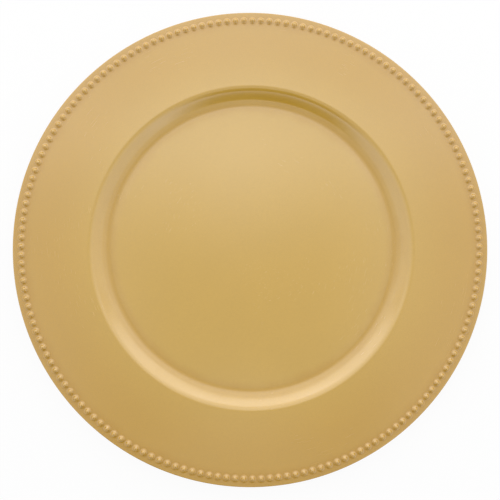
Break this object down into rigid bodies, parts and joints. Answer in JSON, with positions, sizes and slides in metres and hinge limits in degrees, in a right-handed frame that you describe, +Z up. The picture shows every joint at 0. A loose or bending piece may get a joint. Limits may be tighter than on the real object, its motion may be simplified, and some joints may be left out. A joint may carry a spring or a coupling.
{
  "type": "charger plate",
  "caption": "Round charger plate: flat well with a foot ring, wide shallow rim and a closed ring of small beads just inside the edge.",
  "frame": {"origin": "centre of the foot ring's face, where the plate stands", "axes": "+Z up, away from the table; +X through the middle of one bead; +Y a quarter turn on from it"},
  "size_m": [0.33, 0.33, 0.0145],
  "materials": {
    "gold_lacquer": "satin metallic gold lacquer over moulded plastic",
    "foot_lacquer": "thin matt gold lacquer over moulded plastic"
  },
  "bodies": {
    "root": {"well_floor": "gold_lacquer", "foot_ring": "foot_lacquer", "well_wall": "gold_lacquer", "rim": "gold_lacquer", "beaded_edge": "gold_lacquer", "beads": "gold_lacquer"}
  },
  "joints": []
}
